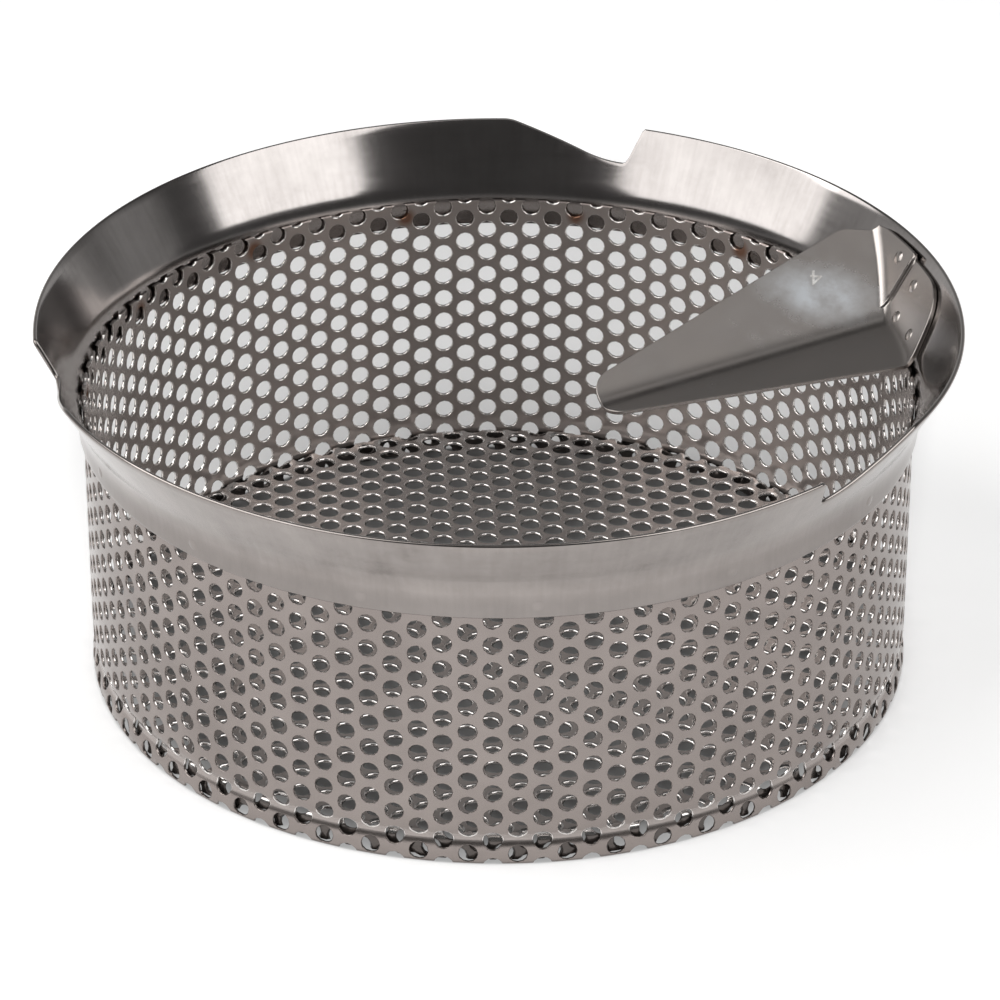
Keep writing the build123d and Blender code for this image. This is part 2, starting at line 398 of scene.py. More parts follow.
def punchedTree():
    tree, wire, have = newTree("punchedSheet", [
        ("Pitch", "Float"),
        ("Hole", "Float"),
        ("Sheet", "Float"),
        ("Front roll", "Float"),
        ("Back roll", "Float"),
        ("Segments", "Int"),
        ("Columns", "Int"),
        ("Rows", "Int"),
        ("First column", "Float"),
        ("First row", "Float"),
        ("Reach", "Float"),
        ("Material", "Material"),
    ])
    # a cell is a grid rolled up round its hole: the rings run from the front rim over the hole to the back rim
    rings = 6
    grid = wire.node("GeometryNodeMeshGrid", values={
        "Size X": 2 * pi,
        "Size Y": float(rings - 1),
        "Vertices X": have["Segments"] + 1,
        "Vertices Y": rings,
    })
    gridX, gridY, _ = axes(wire, wire.node("GeometryNodeInputPosition"))
    turn = gridX + pi
    ring = wire.math("ROUND", gridY + (rings - 1) / 2)
    side = wire.math("MODULO", turn + 1e-4, pi / 3) - pi / 6
    rim = have["Pitch"] * 0.5 / wire.math("COSINE", side)
    hole = have["Hole"] * 0.5

    def pick(*options):
        values = {"Index": ring} | {i + 1: option for i, option in enumerate(options)}
        return wire.node("GeometryNodeIndexSwitch", {"data_type": "FLOAT", "moreItems": rings - 2}, values)

    radius = pick(rim, hole + have["Front roll"], hole, hole, hole + have["Back roll"], rim)
    depth = pick(
        0.0, 0.0, have["Front roll"], have["Sheet"] - have["Back roll"], have["Sheet"] * 1.0, have["Sheet"] * 1.0
    )
    spot = wire.node("ShaderNodeCombineXYZ", values={
        "X": radius * wire.math("COSINE", turn),
        "Y": radius * wire.math("SINE", turn),
        "Z": depth * -1.0,
    })
    cell = wire.node("GeometryNodeSetPosition", values={"Geometry": grid, "Position": spot})
    # the cells' centres
    index = wire.node("GeometryNodeInputIndex")
    column = wire.math("FLOOR", (index + 0.5) / have["Rows"])
    row = index - column * have["Rows"]
    x = (column - have["First column"]) * have["Pitch"] * (sqrt(3) / 2)
    y = have["First row"] + (row + 0.5 * wire.math("MODULO", column, 2.0)) * have["Pitch"]
    centre = wire.node("ShaderNodeCombineXYZ", values={"X": x, "Y": y, "Z": 0.0})
    points = wire.node("GeometryNodePoints", values={"Count": have["Columns"] * have["Rows"], "Position": centre})
    near = wire.math("LESS_THAN", length(wire, x, y), have["Reach"])
    cells = wire.node("GeometryNodeInstanceOnPoints", values={"Points": points, "Selection": near, "Instance": cell})
    sheet = wire.node("GeometryNodeRealizeInstances", values={"Geometry": cells})
    sheet = wire.node("GeometryNodeMergeByDistance", values={"Geometry": sheet, "Distance": 0.02 * mm})
    endTree(wire, sheet, have["Material"])
    return tree


treeOfSheet = punchedTree()


def holeFacing(x, y, depth, firstRow, look):  # unit normals of a flat punched sheet, worked out from its holes
    columnStep = look["Pitch"] * sqrt(3) / 2
    best = np.full(len(x), 1e9)
    toHole = np.zeros((len(x), 2))
    for shift in (0, 1):
        column = np.floor(x / columnStep) + shift
        stagger = firstRow + 0.5 * look["Pitch"] * np.mod(column, 2)
        holeX = column * columnStep
        holeY = stagger + np.round((y - stagger) / look["Pitch"]) * look["Pitch"]
        away = np.hypot(holeX - x, holeY - y)
        closer = away < best
        best[closer] = away[closer]
        toHole[closer] = np.stack((holeX - x, holeY - y), 1)[closer]
    inHole = best < look["Hole"] / 2 + 0.5 * min(look["Front roll"], look["Back roll"])
    facing = np.zeros((len(x), 3))
    facing[:, 2] = np.where(depth > -look["Sheet"] / 2, 1.0, -1.0)
    facing[inHole, 2] = 0.0
    facing[inHole, :2] = toHole[inHole] / best[inHole, None]
    return facing


def cutSheet(bm, place, direction, cutLayer, clear=True):  # straight cut, with the cut edge closed
    everything = bm.verts[:] + bm.edges[:] + bm.faces[:]
    cut = bmesh.ops.bisect_plane(
        bm, geom=everything, dist=1e-7, plane_co=place, plane_no=direction, clear_outer=clear
    )
    if clear:
        edges = [part for part in cut["geom_cut"] if isinstance(part, bmesh.types.BMEdge)]
        for face in bmesh.ops.holes_fill(bm, edges=edges, sides=0)["faces"]:
            face[cutLayer] = 1


def readPoints(mesh):
    points = np.empty(len(mesh.vertices) * 3)
    mesh.vertices.foreach_get("co", points)
    return points.reshape(-1, 3)


def writePoints(mesh, points):
    mesh.vertices.foreach_set("co", points.ravel())
    mesh.update()


def setFacing(mesh, facing):  # smooth normals from a formula, with flat cut edges
    mesh.shade_smooth()
    corner = np.empty(len(mesh.loops), dtype=np.int32)
    mesh.loops.foreach_get("vertex_index", corner)
    normals = facing[corner]
    cut = mesh.attributes["cutEdge"].data
    for polygon in mesh.polygons:
        if cut[polygon.index].value:
            normals[polygon.loop_start:polygon.loop_start + polygon.loop_total] = polygon.normal
    mesh.normals_split_custom_set(normals.tolist())


# Side wall: the flat sheet, cut to height, rolled up and welded along an upright seam
wallLook = {
    "radius": 91.5 * mm,
    "frontAngle": radians(-90.7),   # a column of holes stands here
    "columnTurn": radians(3.2885),  # from a column to the next
    "seamAngle": radians(16.3),
    "seamGap": 0.06 * mm,
    "rows": 12,
    "firstRow": -0.5 * mm,          # centre of the lowest hole in that column, which the lower edge cuts
    "creaseHeight": 5.9 * mm,
    "creaseDepth": 0.7 * mm,
    "creaseWidth": 1.8 * mm,
    "footBulge": 0.22 * mm,         # the wall below the crease stands out by this
    "footCurl": 0.45 * mm,
    "footCurlHeight": 1.2 * mm,
    "creaseCuts": (-3.2, -2.4, -1.7, -1.1, -0.5, 0.1, 0.7, 1.3, 2.0, 2.8, 3.6),
    "seamWidth": 1.7 * mm,
    "seamRise": 0.13 * mm,
}


def wallProfile(height):  # how far the wall stands out at a height
    look = wallLook
    along = np.clip((height - look["creaseHeight"] + 1.4 * mm) / (1.8 * mm), 0, 1)
    stand = look["footBulge"] * (1 - along * along * (3 - 2 * along))
    stand = stand - look["creaseDepth"] * np.exp(-((height - look["creaseHeight"]) / look["creaseWidth"]) ** 2)
    curl = np.clip(1 - height / look["footCurlHeight"], 0, 1)
    return stand - look["footCurl"] * curl * curl


def makeWall():
    look = wallLook
    columnStep = sheetLook["Pitch"] * sqrt(3) / 2
    perTurn = columnStep / look["columnTurn"]    # length of flat sheet for one radian
    lastColumn = (look["seamAngle"] - look["frontAngle"]) / look["columnTurn"]
    firstColumn = lastColumn - 2 * pi / look["columnTurn"]
    spare = 2 * ceil(-firstColumn / 2)           # even, so that the stagger starts with a front column
    values = sheetLook | {
        "Material": steelOfSheet,
        "Columns": spare + ceil(lastColumn) + 1,
        "Rows": look["rows"],
        "First column": float(spare),
        "First row": look["firstRow"],
        "Reach": 1.0,
    }
    wall = growMesh("sideWall", treeOfSheet, values)
    bm = bmesh.new()
    bm.from_mesh(wall.data)
    cutLayer = bm.faces.layers.int.new("cutEdge")
    cutSheet(bm, (0, 0, 0), (0, -1, 0), cutLayer)
    cutSheet(bm, (0, wallTop.z, 0), (0, 1, 0), cutLayer)
    cutSheet(bm, (firstColumn * columnStep + look["seamGap"], 0, 0), (-1, 0, 0), cutLayer)
    cutSheet(bm, (lastColumn * columnStep - look["seamGap"], 0, 0), (1, 0, 0), cutLayer)
    for step in look["creaseCuts"]:
        cutSheet(bm, (0, look["creaseHeight"] + step * mm, 0), (0, 1, 0), cutLayer, clear=False)
    for vert in bm.verts:
        x, y, z = vert.co
        angle = look["frontAngle"] + x / perTurn
        radius = look["radius"] + z + wallProfile(y)
        vert.co = (radius * cos(angle), radius * sin(angle), y)
    bm.to_mesh(wall.data)
    bm.free()
    # normals, from the place that each point had in the flat sheet
    points = readPoints(wall.data)
    angle = np.arctan2(points[:, 1], points[:, 0])
    height = points[:, 2]
    x = (np.mod(angle - look["seamAngle"], 2 * pi) + look["seamAngle"] - 2 * pi - look["frontAngle"]) * perTurn
    depth = np.hypot(points[:, 0], points[:, 1]) - look["radius"] - wallProfile(height)
    flat = holeFacing(x, height, depth, look["firstRow"], sheetLook)
    lean = (wallProfile(height + 0.05 * mm) - wallProfile(height - 0.05 * mm)) / (0.1 * mm)
    outward = np.stack((np.cos(angle), np.sin(angle), np.zeros(len(angle))), 1)
    along = np.stack((-np.sin(angle), np.cos(angle), np.zeros(len(angle))), 1)
    facing = flat[:, :1] * along + flat[:, 2:] * outward
    facing[:, 2] += flat[:, 1] - flat[:, 2] * lean
    facing /= np.linalg.norm(facing, axis=1)[:, None]
    setFacing(wall.data, facing)
    finishPiece(wall, "side_wall")


def makeSeam():  # a low upright bead where the rolled sheet's ends are welded
    look = wallLook
    middle = look["radius"] - sheetLook["Sheet"] / 2
    rings = 130
    sides = 12
    points = []
    for i in range(rings):
        height = 0.3 * mm + (wallTop.z - 0.6 * mm) * i / (rings - 1)
        ripple = 1 + 0.10 * sin(i * 1.3) + 0.08 * sin(i * 2.9)
        stand = sheetLook["Sheet"] / 2 + look["seamRise"] * ripple * (0.4 if 0 < i < rings - 1 else 0)
        for j in range(sides):
            turn = 2 * pi * j / sides
            radius = middle + wallProfile(height) + stand * cos(turn)
            angle = look["seamAngle"] + look["seamWidth"] / 2 * ripple * sin(turn) / middle
            points.append((radius * cos(angle), radius * sin(angle), height))
    faces = [tuple(range(sides)), tuple(reversed(range((rings - 1) * sides, rings * sides)))]
    for i in range(rings - 1):
        for j in range(sides):
            low = i * sides
            k = (j + 1) % sides
            faces.append((low + j, low + sides + j, low + sides + k, low + k))
    mesh = bpy.data.meshes.new("seamWeld")
    mesh.from_pydata(points, [], faces)
    mesh.materials.append(steelOfSheet)
    mesh.shade_smooth()
    finishPiece(addObject("seamWeld", mesh))


# Floor: the same sheet, with its edge turned down inside the drum
floorLook = {
    "columns": 39,
    "rows": 34,
    "turn": radians(4.0),        # the columns lean this much away from the Y axis
    "bend": 2.0 * mm,            # outside radius of the turned edge
    "frontRoll": 0.62 * mm,
    "backRoll": 0.14 * mm,
}


def makeFloor():
    look = floorLook
    sheet = sheetLook | {"Front roll": look["frontRoll"], "Back roll": look["backRoll"]}
    firstRow = -look["rows"] / 2 * sheet["Pitch"]
    flatRadius = floorTop.x - look["bend"]
    bendMiddle = look["bend"] - sheet["Sheet"] / 2
    flangeHeight = floorTop.z - look["bend"] - floorFoot.z
    values = sheet | {
        "Material": steelOfSheet,
        "Columns": look["columns"],
        "Rows": look["rows"],
        "First column": float(look["columns"] // 2 - 1),
        "First row": firstRow,
        "Reach": flatRadius + bendMiddle * pi / 2 + flangeHeight + sheet["Pitch"] * 0.6,
    }
    disc = growMesh("floorDisc", treeOfSheet, values)
    bm = bmesh.new()
    bm.from_mesh(disc.data)
    cutLayer = bm.faces.layers.int.new("cutEdge")

    def nearBend(edge):
        middle = (edge.verts[0].co + edge.verts[1].co) / 2
        return -1.5 * mm < Vector((middle.x, middle.y)).length - flatRadius < bendMiddle * pi / 2 + 1.0 * mm

    bendEdges = [edge for edge in bm.edges if nearBend(edge)]
    bmesh.ops.subdivide_edges(bm, edges=bendEdges, cuts=1, use_grid_fill=True)
    flat = np.array([vert.co for vert in bm.verts])
    facing = holeFacing(flat[:, 0], flat[:, 1], flat[:, 2], firstRow, sheet)
    angle = np.arctan2(flat[:, 1], flat[:, 0]) + look["turn"]
    radius = np.hypot(flat[:, 0], flat[:, 1])
    bent = np.clip((radius - flatRadius) / bendMiddle, 0, pi / 2)
    down = np.clip(radius - flatRadius - bendMiddle * pi / 2, 0, None)
    arm = np.where(bent > 0, look["bend"] + flat[:, 2], 0)
    newRadius = np.minimum(radius, flatRadius) + arm * np.sin(bent)
    newHeight = np.where(
        bent > 0,
        floorTop.z - look["bend"] + arm * np.cos(bent) - down,
        floorTop.z + flat[:, 2],
    )
    outward = np.stack((np.cos(angle), np.sin(angle), np.zeros(len(angle))), 1)
    upright = np.array((0.0, 0.0, 1.0))
    turned = facing[:, :2] @ np.array(
        ((cos(look["turn"]), sin(look["turn"])), (-sin(look["turn"]), cos(look["turn"])))
    )
    planar = np.concatenate((turned, np.zeros((len(turned), 1))), 1)
    radial = (planar * outward).sum(1)[:, None]
    level = planar - radial * outward
    slope = np.cos(bent)[:, None] * outward - np.sin(bent)[:, None] * upright
    lift = np.sin(bent)[:, None] * outward + np.cos(bent)[:, None] * upright
    facing = level + radial * slope + facing[:, 2:] * lift
    normalLayer = bm.verts.layers.float_vector.new("sheetNormal")
    for i, vert in enumerate(bm.verts):
        vert.co = (newRadius[i] * cos(angle[i]), newRadius[i] * sin(angle[i]), newHeight[i])
        vert[normalLayer] = facing[i]
    cutSheet(bm, (0, 0, floorFoot.z), (0, 0, -1), cutLayer)
    bm.to_mesh(disc.data)
    bm.free()
    stored = np.empty(len(disc.data.vertices) * 3)
    disc.data.attributes["sheetNormal"].data.foreach_get("vector", stored)
    stored = stored.reshape(-1, 3)
    length = np.linalg.norm(stored, axis=1)[:, None]
    setFacing(disc.data, stored / np.where(length > 0, length, 1))
    finishPiece(disc, "floor_disc")


steelOfSheet = punchedSteel()
print("punched steel ready")
makeWall()
makeSeam()
makeFloor()


def smoothMin(a, b, width):
    mix = np.clip(width - np.abs(a - b), 0, None) / width
    return np.minimum(a, b) - mix * mix * width / 4


def smoothMax(a, b, width):
    return -smoothMin(-a, -b, width)


# Rim collar: skirt, bend and flared lip, with three bayonet notches in the lip's edge
collarLook = {
    "sheet": 1.0 * mm,
    "skirtRadius": 91.6 * mm,      # inside the skirt
    "lipStart": 67.4 * mm,         # height where the skirt's and the lip's lines cross
    "slope": radians(30.4),
    "bend": 14.8 * mm,             # radius of the bend, outside the drum
    "edgeRound": 0.47 * mm,
    "notchAngles": (70.2, 187.3, 311.6),   # steep side of each notch, in degrees
    "notchDepth": 8.6 * mm,
    "notchFloor": 6.0 * mm,
    "notchStep": 3.0 * mm,
    "notchRamp": 23.2 * mm,
    "notchCorner": 1.8 * mm,
    "wave": 0.10 * mm,             # the lip isn't quite true
    "backRise": 0.8 * mm,          # and stands a little higher at the back
    "around": 1080,
}


def lipLength():
    look = collarLook
    return (collarTop.z - look["lipStart"]) / cos(look["slope"])


def notchAt(angle):  # depth of the notches, measured down the lip's slope
    look = collarLook
    deepest = 0 * angle
    for start in look["notchAngles"]:
        along = (np.mod(angle - radians(start) + pi, 2 * pi) - pi) * collarTop.x
        steep = look["notchDepth"] * along / look["notchStep"]
        end = look["notchStep"] + look["notchFloor"] + look["notchRamp"]
        ramped = look["notchDepth"] * (end - along) / look["notchRamp"]
        depth = smoothMin(smoothMin(steep, ramped, look["notchCorner"]), look["notchDepth"], look["notchCorner"])
        deepest = np.maximum(deepest, smoothMax(depth, 0, look["notchCorner"] / 3))
    return deepest


def collarPoint(along, out, turn, look):  # a place in the section: along it from the bend's corner, and out from its inside
    slope = look["slope"]
    arm = look["bend"] + look["sheet"]
    tangent = arm * tan(slope / 2)
    bent = np.clip((along + tangent) / (2 * tangent), 0, 1) * slope
    centreR = look["skirtRadius"] + arm
    centreZ = look["lipStart"] - tangent
    r = centreR - (arm - out) * np.cos(bent)
    z = centreZ + (arm - out) * np.sin(bent)
    below = np.clip(-tangent - along, 0, None)
    above = np.clip(along - tangent, 0, None)
    r = r + above * sin(slope)
    z = z - below + above * cos(slope)
    wave = np.sin(3 * turn + 0.7) + 0.7 * np.sin(5 * turn + 2.1) + 0.5 * np.sin(8 * turn + 4.0)
    stray = look["wave"] * wave * np.clip(along / lipLength(), 0, 1)
    return r + stray * cos(slope), z - stray * sin(slope)


def makeCollar():
    look = collarLook
    tangent = (look["bend"] + look["sheet"]) * tan(look["slope"] / 2)
    foot = -(look["lipStart"] - collarFoot.z)
    edge = look["edgeRound"]
    sheet = look["sheet"]
    turn = np.linspace(0, 2 * pi, look["around"], endpoint=False)
    top = lipLength() + look["backRise"] * (0.5 + 0.5 * np.sin(turn)) - notchAt(turn)
    rows = []                      # pairs of (along, out) for each ring of the section, inside first
    for share in np.linspace(0, 1, 5):
        rows.append((foot + edge + share * (-tangent - foot - edge) + 0 * turn, 0))
    for share in np.linspace(0, 1, 12)[1:]:
        rows.append((-tangent + share * 2 * tangent + 0 * turn, 0))
    for share in np.linspace(0, 1, 10)[1:]:
        rows.append((tangent + share * (top - edge - tangent), 0))
    insideRows = list(rows)
    corner = [(edge * (1 - cos(a)), edge * sin(a)) for a in (radians(30), radians(60), radians(90))]
    for out, rise in corner:
        rows.append((top - edge + rise, out))
    for out, rise in reversed(corner):
        rows.append((top - edge + rise, sheet - out))
    for along, _ in reversed(insideRows):
        rows.append((along, sheet))
    for out, rise in corner:
        rows.append((foot + edge - rise + 0 * turn, sheet - out))
    for out, rise in reversed(corner):
        rows.append((foot + edge - rise + 0 * turn, out))
    points = []
    for along, out in rows:
        r, z = collarPoint(along, out, turn, look)
        points.append(np.stack((r * np.cos(turn), r * np.sin(turn), z), 1))
    points = np.concatenate(points)
    count = look["around"]
    faces = []
    for row in range(len(rows)):
        low = row * count
        high = (row + 1) % len(rows) * count
        for i in range(count):
            j = (i + 1) % count
            faces.append((low + j, low + i, high + i, high + j))
    mesh = bpy.data.meshes.new("rimCollar")
    mesh.from_pydata(points.tolist(), [], faces)
    mesh.materials.append(steelOfCollar)
    mesh.shade_smooth()
    collar = addObject("rimCollar", mesh)
    finishPiece(collar, "rim_collar")


makeCollar()


def weldTree():  # a low round nugget on each point, turned to face as the point says
    tree, wire, have = newTree("weldMarks", [
        ("Geometry", "Geometry"),
        ("Radius", "Float"),
        ("Rise", "Float"),
        ("Material", "Material"),
    ])
    nugget = wire.node("GeometryNodeMeshUVSphere", values={"Segments": 20, "Rings": 12, "Radius": 1.0})
    size = wire.node("ShaderNodeCombineXYZ", values={
        "X": have["Radius"] * 1.4,
        "Y": have["Radius"] * 1.4,
        "Z": have["Rise"] * 3.0,
    })
    nugget = wire.node("GeometryNodeTransform", values={"Geometry": nugget, "Scale": size})
    nugget = wire.node("GeometryNodeSetShadeSmooth", values={"Geometry": nugget})
    facing = wire.node("GeometryNodeInputNamedAttribute", {"data_type": "FLOAT_VECTOR"}, {"Name": "facing"})
    turned = wire.node("FunctionNodeAlignRotationToVector", {"axis": "Z"}, {"Vector": facing})
    points = wire.node("GeometryNodeMeshToPoints", values={"Mesh": have["Geometry"]})
    sunk = wire.node("ShaderNodeVectorMath", {"operation": "SCALE"}, {0: facing, "Scale": have["Rise"] * -2.0})
    points = wire.node("GeometryNodeSetPosition", values={"Geometry": points, "Offset": sunk})
    marks = wire.node("GeometryNodeInstanceOnPoints", values={"Points": points, "Instance": nugget, "Rotation": turned})
    marks = wire.node("GeometryNodeRealizeInstances", values={"Geometry": marks})
    endTree(wire, marks, have["Material"])
    return tree


treeOfWelds = weldTree()


def makeWelds(name, places, values):  # places are pairs of a point and the way it faces
    base = bpy.data.meshes.new(name)
    base.from_pydata([point for point, facing in places], [], [])
    facing = base.attributes.new("facing", "FLOAT_VECTOR", "POINT")
    facing.data.foreach_set("vector", [number for point, way in places for number in way])
    finishPiece(growMesh(name, treeOfWelds, values, base))


def skirtWelds():
    look = weldLook
    radius = collarLook["skirtRadius"] + collarLook["sheet"]
    places = []
    for i, angle in enumerate(weldAngles()):
        way = Vector((cos(angle), sin(angle), 0))
        places.append((way * radius + Vector((0, 0, look["height"] + look["stray"] * sin(5.1 * i))), way))
    values = {"Radius": look["radius"], "Rise": look["rise"], "Material": steelOfCollar}
    makeWelds("skirtWelds", places, values)


skirtWelds()


# Deflector: a wing and a shelf that meet in a fold, with a tab that lies on the lip
deflectorLook = {
    "sheet": 1.0 * mm,
    "gap": 0.1 * mm,
    "tipReach": 22.7 * mm,
    "tipAngle": radians(7.6),
    "tipHeight": 59.5 * mm,        # upper face at the tip
    "tipWidth": 10.8 * mm,
    "tipRound": 5.0 * mm,
    "foldAngle": radians(16.5),
    "foldHeight": 68.6 * mm,
    "shelfAngle": radians(2.7),
    "shelfHeight": 68.3 * mm,
    "wingAngle": radians(28.2),
    "wingHeight": 80.8 * mm,
    "wingTop": 8.7 * mm,
    "wingRound": 6.0 * mm,
    "tabLean": radians(5.2),
    "tabHeight": 16.0 * mm,
    "tabRound": 14.0 * mm,
    "foldSoftness": 1.8 * mm,
    "tabSoftness": 2.4 * mm,
    "flapAngle": radians(18.2),    # edge of the flap that lies over the other
    "flapStep": 0.7 * mm,
    "tabWelds": ((21.2, 12.5), (15.2, 11.5), (14.6, 3.4), (8.7, 3.9)),   # angle in degrees, height up the slope in mm
    "tabWeldRadius": 1.5 * mm,
    "tabWeldRise": 0.34 * mm,
    "markPlace": (71.7 * mm, 34.6 * mm),
    "markHeight": 4.0 * mm,
    "markDepth": 0.05 * mm,
    "grain": 1.1 * mm,
    "tabGrain": 0.75 * mm,
}


def onDrum(radius, angle, height):
    return Vector((radius * cos(angle), radius * sin(angle), height))


def lipInside(height, cover):
    look = collarLook
    return look["skirtRadius"] + (height - look["lipStart"]) * tan(look["slope"]) - cover / cos(look["slope"])


def roundedLine(points, radii):  # an open line with its inner corners rounded
    line = [points[0]]
    for before, corner, after, radius in zip(points, points[1:], points[2:], radii):
        towards = (before - corner).normalized()
        onwards = (after - corner).normalized()
        half = towards.angle(onwards) / 2
        reach = radius / tan(half)
        centre = corner + (towards + onwards).normalized() * (radius / sin(half))
        start = corner + towards * reach - centre
        end = corner + onwards * reach - centre
        steps = 10
        for i in range(steps + 1):
            line.append(centre + start.lerp(end, i / steps).normalized() * radius)
    line.append(points[-1])
    return line


def finelySpaced(line, step):
    fine = [line[0]]
    for a, b in zip(line, line[1:]):
        pieces = max(1, round((b - a).length / step))
        fine += [a.lerp(b, i / pieces) for i in range(1, pieces + 1)]
    return fine


def makeDeflector():
    look = deflectorLook
    slope = collarLook["slope"]
    cover = look["gap"] + look["sheet"]          # the tab's inner face lies this far inside the lip
    tip = onDrum(look["tipReach"], look["tipAngle"], look["tipHeight"])

    def root(angle, height):
        return onDrum(lipInside(height, cover), angle, height)

    foldRoot = root(look["foldAngle"], look["foldHeight"])
    shelfRoot = root(look["shelfAngle"], look["shelfHeight"])
    wingRoot = root(look["wingAngle"], look["wingHeight"])
    foldLine = (foldRoot - tip).normalized()

    def plate(rootPoint):
        up = foldLine.cross(rootPoint - tip).normalized()
        return up if up.z > 0 else -up

    shelfUp = plate(shelfRoot)
    wingUp = plate(wingRoot)

    def plateHeight(x, y, up):
        return tip.z - (up.x * (x - tip.x) + up.y * (y - tip.y)) / up.z

    def surface(x, y):
        wing = plateHeight(x, y, wingUp)
        shelf = plateHeight(x, y, shelfUp)
        around = np.arctan2(y, x)
        over = np.clip((around - look["flapAngle"]) * collarTop.x / (0.3 * mm) + 0.5, 0, 1)
        inner = collarLook["skirtRadius"] - (cover + look["flapStep"] * over) / cos(slope)
        tab = collarLook["lipStart"] + (np.hypot(x, y) - inner) / tan(slope)
        return smoothMax(smoothMax(wing, shelf, look["foldSoftness"]), tab, look["tabSoftness"])

    # outline from above, the tab first
    reach = lipInside(collarLook["lipStart"], cover)

    def tabPlace(point):                         # from the tab's own flat sheet to the drum
        radius = reach + point.y * sin(slope)
        return Vector((radius * cos(point.x / collarTop.x), radius * sin(point.x / collarTop.x)))

    front = look["shelfAngle"] * collarTop.x
    lean = look["tabLean"] * collarTop.x
    back = look["wingAngle"] * collarTop.x
    wingRise = (wingRoot.z - collarLook["lipStart"]) / cos(slope)
    tabLine = roundedLine(
        [
            Vector((front, 0.0)),
            Vector((front + lean, look["tabHeight"])),
            Vector((back - 3.2 * mm, look["tabHeight"])),
            Vector((back, wingRise)),
        ],
        [look["tabRound"], 2.0 * mm],
    )
    tabEdge = [tabPlace(point) for point in finelySpaced(tabLine, 0.6 * mm)]
    flatTip = tip.to_2d()
    half = Vector((-foldLine.y, foldLine.x)).normalized() * (look["tipWidth"] / 2)
    plateLine = roundedLine(
        [
            tabEdge[-1],
            wingRoot.to_2d() - Vector((look["wingTop"], 0)),
            flatTip + half,
            flatTip - half,
            tabEdge[0],
        ],
        [look["wingRound"], look["tipRound"], look["tipRound"]],
    )
    plateEdge = finelySpaced(plateLine, 0.8 * mm)
    outline = tabEdge + plateEdge[1:-1]

    # inner points: an even field on the plates, closer rows beside the folds and on the tab
    inner = []
    step = look["grain"]
    for i in range(-10, 110):
        for j in range(-10, 70):
            inner.append(Vector((i * step + (j % 2) * step / 2, j * step * sqrt(3) / 2)))
    inner = [point for point in inner if point.length < reach - 2.0 * mm]
    flatFold = foldLine.to_2d().normalized()
    sideways = Vector((-flatFold.y, flatFold.x))
    for away in (-2.4, -1.8, -1.2, -0.8, -0.4, 0.0, 0.4, 0.8, 1.2, 1.8, 2.4):
        for i in range(90):
            inner.append(flatTip + flatFold * (i * 0.8 - 5.0) * mm + sideways * away * mm)
    for i in range(-4, 34):
        for j in range(0, 90):
            angle = (j + (i % 2) * 0.5) * look["tabGrain"] / collarTop.x
            inner.append(onDrum(reach - 1.8 * mm + i * 0.36 * mm, angle, 0).to_2d())
    for away in (-0.35, -0.15, 0.0, 0.15, 0.35):
        for i in range(30):
            radius = reach - 1.0 * mm + i * 0.36 * mm
            inner.append(onDrum(radius, look["flapAngle"] + away * mm / collarTop.x, 0).to_2d())

    edgePoints = np.array(outline)
    field = np.array(inner)
    clear = np.array([np.min(np.hypot(*(edgePoints - point).T)) for point in field]) > 0.55 * mm
    field = field[clear]
    rim = [(i, (i + 1) % len(outline)) for i in range(len(outline))]
    points = [Vector(point) for point in np.concatenate((edgePoints, field))]
    flat, _, faces, *_ = delaunay_2d_cdt(points, rim, [], 1, 1e-6)
    flat = np.array(flat)
    height = surface(flat[:, 0], flat[:, 1])
    mesh = bpy.data.meshes.new("deflectorPlate")
    mesh.from_pydata(np.stack((flat[:, 0], flat[:, 1], height), 1).tolist(), [], faces)
    mesh.materials.append(steelOfDeflector)
    bm = bmesh.new()
    bm.from_mesh(mesh)
    unused = [vert for vert in bm.verts if not vert.link_faces]
    bmesh.ops.delete(bm, geom=unused, context="VERTS")
    bmesh.ops.recalc_face_normals(bm, faces=bm.faces)
    if sum(face.normal.z for face in bm.faces) < 0:
        bmesh.ops.reverse_faces(bm, faces=bm.faces)
    bm.to_mesh(mesh)
    bm.free()
    mesh.shade_smooth()
    made = addObject("deflectorPlate", mesh)
    thick = made.modifiers.new("sheet", "SOLIDIFY")
    thick.thickness = look["sheet"]
    thick.offset = -1.0
    thick.use_even_offset = True
    soften = made.modifiers.new("edges", "BEVEL")
    soften.width = 0.22 * mm
    soften.segments = 2
    soften.limit_method = "ANGLE"
    soften.angle_limit = radians(60)
    soften.harden_normals = True
    soften.use_clamp_overlap = False
    solid = bpy.data.meshes.new_from_object(made.evaluated_get(bpy.context.evaluated_depsgraph_get()))
    made.modifiers.clear()
    made.data = solid
    finishPiece(made, "deflector")

    # spot welds on the tab
    places = []
    for degreesRound, rise in look["tabWelds"]:
        angle = radians(degreesRound)
        radius = reach + rise * mm * sin(slope)
        x, y = radius * cos(angle), radius * sin(angle)
        height = float(surface(np.array([x]), np.array([y]))[0])
        way = Vector((-cos(slope) * cos(angle), -cos(slope) * sin(angle), sin(slope)))
        places.append((Vector((x, y, height)), way))
    values = {"Radius": look["tabWeldRadius"], "Rise": look["tabWeldRise"], "Material": steelOfDeflector}
    makeWelds("tabWelds", places, values)

